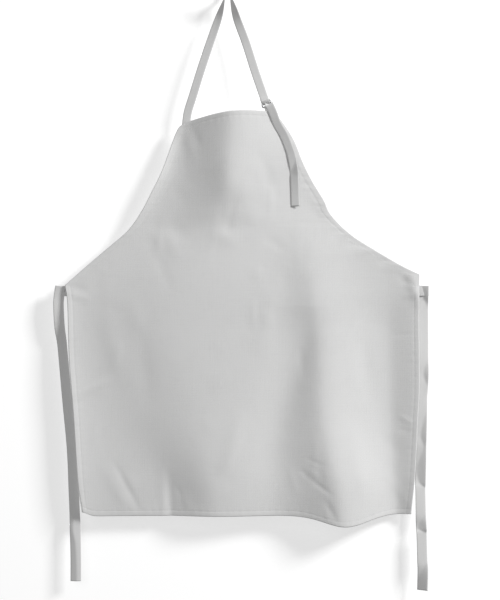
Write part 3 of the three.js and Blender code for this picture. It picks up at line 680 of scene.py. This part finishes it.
def add_hem(name, line, inward, flap_extra=0.0):
    """A folded hem along an edge line of (x, depth), rolled over the cloth's cut edge."""
    section = np.array(HEM_SECTION)
    places = line[:, None, :] + inward[:, None, :] * section[None, :, 0:1]
    behind = section[:, 1] + flap_extra * np.clip((section[:, 1] / ROLL) - 1, 0, 1)
    points = on_cloth(places[..., 0], places[..., 1], np.broadcast_to(behind, places.shape[:2]))
    return strip(name, points, cloth_look, places)


def edge_line(kind, count):
    """An edge of the cloth as points (x, depth), with the inward direction at each."""
    share = np.linspace(0, 1, count)
    if kind == "top":
        across = share
        left, right = LEFT_ARMHOLE[0][1], RIGHT_ARMHOLE[0][1]
        line = np.stack([left + (right - left) * across, bib_depth(np.zeros(count), across)], -1)
    elif kind == "bottom":
        left, right = LEFT_SIDE[-1][1], RIGHT_SIDE[-1][1]
        x = left + (right - left) * share
        line = np.stack([x, skirt_depth(np.ones(count), share, x)], -1)
    else:
        edge, rows = {
            "left_armhole": (left_armhole, LEFT_ARMHOLE), "right_armhole": (right_armhole, RIGHT_ARMHOLE),
            "left_side": (left_side, LEFT_SIDE), "right_side": (right_side, RIGHT_SIDE)}[kind]
        last_depth, last_x = rows[-1]
        if kind.endswith("side"):
            last_depth = skirt_depth(1.0, float(kind == "right_side"), last_x)
        depth = rows[0][0] + (last_depth - rows[0][0]) * share
        line = np.stack([edge(depth)[:, 0], depth], -1)
    along = unit(np.gradient(line, axis=0))
    inward = np.stack([-along[:, 1], along[:, 0]], -1)
    middle = np.array([20.0, 620.0])  # a place well inside the cloth
    flip = np.sign(np.einsum("ij,ij->i", middle - line, inward)[count // 2])
    return line, inward * flip


def add_stitches(name, line, lift, pitch=3.2, length=2.3, radius=0.26):
    """Lockstitches along a line of (x, depth); lift is how far behind the cloth's front face they lie."""
    run = np.concatenate([[0], np.cumsum(np.linalg.norm(np.diff(line, axis=0), axis=1))])
    count = max(int(run[-1] / pitch), 1)
    starts = (np.arange(count) + 0.5) * run[-1] / count
    sides = 6
    # One stitch's rings: place along it and share of its radius.
    rings = [(-0.5, 0.35), (-0.28, 1.0), (0.28, 1.0), (0.5, 0.35)]
    points, faces = [], []

    def on_line(places):
        return np.stack([np.interp(places, run, line[:, k]) for k in (0, 1)], -1)

    ends = [on_line(starts + s * length / 2) for s in (-1, 1)]
    low, high = [on_cloth(e[:, 0], e[:, 1], np.full(count, lift)) for e in ends]
    middle = on_line(starts)
    base = on_cloth(middle[:, 0], middle[:, 1], np.full(count, lift))
    normal = unit(on_cloth(middle[:, 0], middle[:, 1], np.full(count, lift + 1.0)) - base)
    along = unit(high - low)
    aside = np.cross(along, normal)
    for k in range(count):
        first = len(points)
        for place, share in rings:
            for s in range(sides):
                angle = 2 * math.pi * s / sides
                out = aside[k] * math.cos(angle) + normal[k] * math.sin(angle) * STITCH_FLATNESS
                points.append(base[k] + along[k] * place * length + out * radius * share)
        for r in range(len(rings) - 1):
            for s in range(sides):
                a, b = first + r * sides + s, first + r * sides + (s + 1) % sides
                faces.append((a, b, b + sides, a + sides))
        faces.append(tuple(range(first, first + sides))[::-1])
        last = first + (len(rings) - 1) * sides
        faces.append(tuple(range(last, last + sides)))
    obj = make(name, points, faces, thread_look)
    outward(obj)
    return obj


# ---- the tapes --------------------------------------------------------------------------------------
def add_ribbon(name, centres, across, width=TAPE_WIDTH, crease=None):
    """A flat woven tape along its centre points, with its width direction at each."""
    along = unit(np.gradient(centres, axis=0))
    across = unit(across - along * np.einsum("ij,ij->i", across, along)[:, None])
    out = np.cross(along, across)
    places = np.linspace(-1, 1, 15)  # across the tape, from edge to edge
    run = np.concatenate([[0], np.cumsum(np.linalg.norm(np.diff(centres, axis=0), axis=1))])
    lift = 0.12 * np.sin(run / 23)[:, None] * places[None, :]  # a slow, slight twist
    if crease:
        place, rise = through(crease)(-centres[:, 2]).T
        bend = soft_step(places[None, :] - place[:, None], 0.07) * rise[:, None] * width / 2
        lift = lift + bend - bend.mean(axis=1, keepdims=True)
    middle = (centres[:, None] + across[:, None] * (places * width / 2)[None, :, None]
              + out[:, None] * lift[..., None])
    half = TAPE_THICKNESS / 2 * np.sqrt(np.clip(1.02 - places ** 6, 0, 1))
    offset = out[:, None] * half[None, :, None]
    uv = np.stack(np.broadcast_arrays(places[None] * width / 2, run[:, None]), -1)
    obj = shell(name, middle + offset, middle - offset, tape_look, uv)
    outward(obj)
    return obj


def turned(route, steps):
    """Centre points and width directions of a tape route."""
    rows = smooth_line(route, steps)
    turn = np.radians(rows[:, 3])
    return rows[:, :3], np.stack([np.cos(turn), -np.sin(turn), np.zeros(len(turn))], -1)


# The strap's way on from the right limb, round the rings, and the tail's way out from under them.
STRAP_END = [[72.6, -15.7, -207, 0], [73.8, -13.4, -210.6, 0], [74.2, -9.8, -212, 0],
             [73.6, -6.6, -210.6, 0], [72, -5.9, -206, 0], [70, -6.3, -200, 0]]
TAIL_START = [[75.5, -6.8, -207, 4], [75.7, -8, -211.6, 4], [76, -11.4, -214, 4], [77, -16.6, -214.4, 5],
              [80, -21, -215, 8]]
BIGHT_RADIUS = 4.3
BIGHT_WRAP = (164, 16)  # degrees round the rod, from the left limb to the right one


def add_strap():
    """The neck strap: up the left limb, over the rod, down the right limb and round the rings."""
    sewn_end = [[-84, 6.9, -268, 5]]
    left, left_across = turned((LEFT_LIMB + sewn_end)[::-1], 110)
    right, right_across = turned(RIGHT_LIMB + STRAP_END, 150)
    angle = np.radians(np.linspace(*BIGHT_WRAP, 18))[1:-1]
    over = BIGHT_RADIUS * np.stack([np.cos(angle), 0 * angle, np.sin(angle)], -1)
    over_across = np.tile([0.0, -1.0, 0.0], (len(angle), 1))
    strap = add_ribbon("neck_strap_tape", np.vstack([left, over, right]),
                       np.vstack([left_across, over_across, right_across]))
    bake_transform(strap)
    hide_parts("strap_bight", "strap_left_limb", "strap_right_limb")

    centres, across = turned(TAIL_START + TAIL[1:], 130)
    tail = add_ribbon("strap_tail_tape", centres, across, crease=TAIL_CREASE)
    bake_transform(tail)
    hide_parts("strap_tail")


SEWN_END_HEIGHT = -572  # of a tie's level end behind the cloth's side
SEWN_END_ROWS = 24


def add_ties():
    """Both waist ties, each with its end sewn behind the cloth."""
    for side, route, crease, stub in (("left", LEFT_TIE, LEFT_TIE_CREASE, [-298, -333]),
                                      ("right", RIGHT_TIE, RIGHT_TIE_CREASE, [354, 389])):
        tie = add_ribbon(f"{side}_tie_tape", *turned(route, 300), width=TIE_WIDTH, crease=crease)
        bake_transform(tie)
        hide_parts(f"{side}_waist_tie")
        inner, outer = stub
        behind_tie = route[0][1] + 1.4
        reach = np.linspace(0, 1, SEWN_END_ROWS)
        centres = np.stack([inner + (outer - inner) * reach, behind_tie + 0 * reach,
                            SEWN_END_HEIGHT + 1.5 * reach], -1)
        upright = np.tile([0.0, 0.0, 1.0], (SEWN_END_ROWS, 1))
        sewn = add_ribbon(f"{side}_tie_sewn_end", centres, upright, width=TIE_WIDTH)
        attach(sewn, "bib")


# ---- everything together ----------------------------------------------------------------------------
def box_of_stitches(x, depth, half_width, half_height, lean):
    """A sewn box with a cross in it, as points (x, depth) of one run of thread."""
    corners = [(-1, -1), (1, -1), (1, 1), (-1, 1), (-1, -1), (1, 1), (1, -1), (-1, 1)]
    turn = math.radians(lean)
    points = []
    for right, down in corners:
        across, along = right * half_width, down * half_height
        points.append((x + across * math.cos(turn) + along * math.sin(turn),
                       depth + along * math.cos(turn) - across * math.sin(turn)))
    return np.array(points)


# Where tapes are sewn to the cloth: x, depth, half width, half height, lean.
SEWN_BOXES = {"strap_box": (-76, 259, 5.5, 6.5, -18), "keeper_box": (83.5, 240, 4.5, 6, 16),
              "left_tie_box": (-302.5, 573, 3.6, 7, 0), "right_tie_box": (360, 557, 3.6, 7, 0)}


def add_all():
    """Every visible piece, with the CAD nodes that stay."""
    cloth = add_cloth()
    hems = []
    for kind, count, extra in (("top", 60, 1.0), ("left_armhole", 110, 0), ("right_armhole", 110, 0),
                               ("left_side", 120, 0), ("right_side", 120, 0), ("bottom", 180, 1.0)):
        line, inward = edge_line(kind, count)
        hem = add_hem(f"{kind}_hem_fold", line, inward, extra)
        for face, lift in (("front", 0.05), ("back", 2 * ROLL + extra + 0.12)):
            stitches = add_stitches(f"{kind}_stitches_{face}", line + inward * STITCH_INSET, lift)
            hems.append((kind, stitches, "sewing_thread"))
        hems.append((kind, hem, "apron_cloth"))
    for name, box in SEWN_BOXES.items():
        stitches = add_stitches(name, box_of_stitches(*box), 0.0, pitch=2.6, length=2.0)
        hems.append(("box", stitches, "sewing_thread"))
    replaced = {"top": ["bib_top_hem"], "bottom": ["bottom_hem"], "left_armhole": ["left_armhole_facing"],
                "right_armhole": ["right_armhole_facing"],
                "left_side": ["left_side_hem_upper", "left_side_hem_lower"],
                "right_side": ["right_side_hem_upper", "right_side_hem_lower"]}
    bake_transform(cloth)
    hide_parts("bib_panel", "skirt_panel")
    for kind, obj, slot in hems:
        if kind.endswith("side"):
            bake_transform(obj)
        else:
            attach(obj, "skirt" if kind == "bottom" else "bib")
        if slot == "apron_cloth":
            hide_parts(*replaced[kind])

    add_strap()
    add_ties()
    looks = {
        "hook_steel": metal("satin_nickel", (0.56, 0.57, 0.58), 0.30, 900, 0.5),
        "screw_steel": metal("zinc_plate", (0.52, 0.53, 0.55), 0.36, 1400, 0.6),
        "ring_metal": metal("ring_nickel", (0.70, 0.70, 0.71), 0.22, 1800, 0.4),
        "woven_tape": keeper_look,
    }
    slots = {row["node"]: row["material_slot"] for row in frame["record"]["subparts"]}
    for name, node in frame["nodes"].items():
        if not node.hide_render:
            node.data.materials.clear()
            node.data.materials.append(looks[slots[name]])


add_camera()
add_stage()
add_light()
add_all()
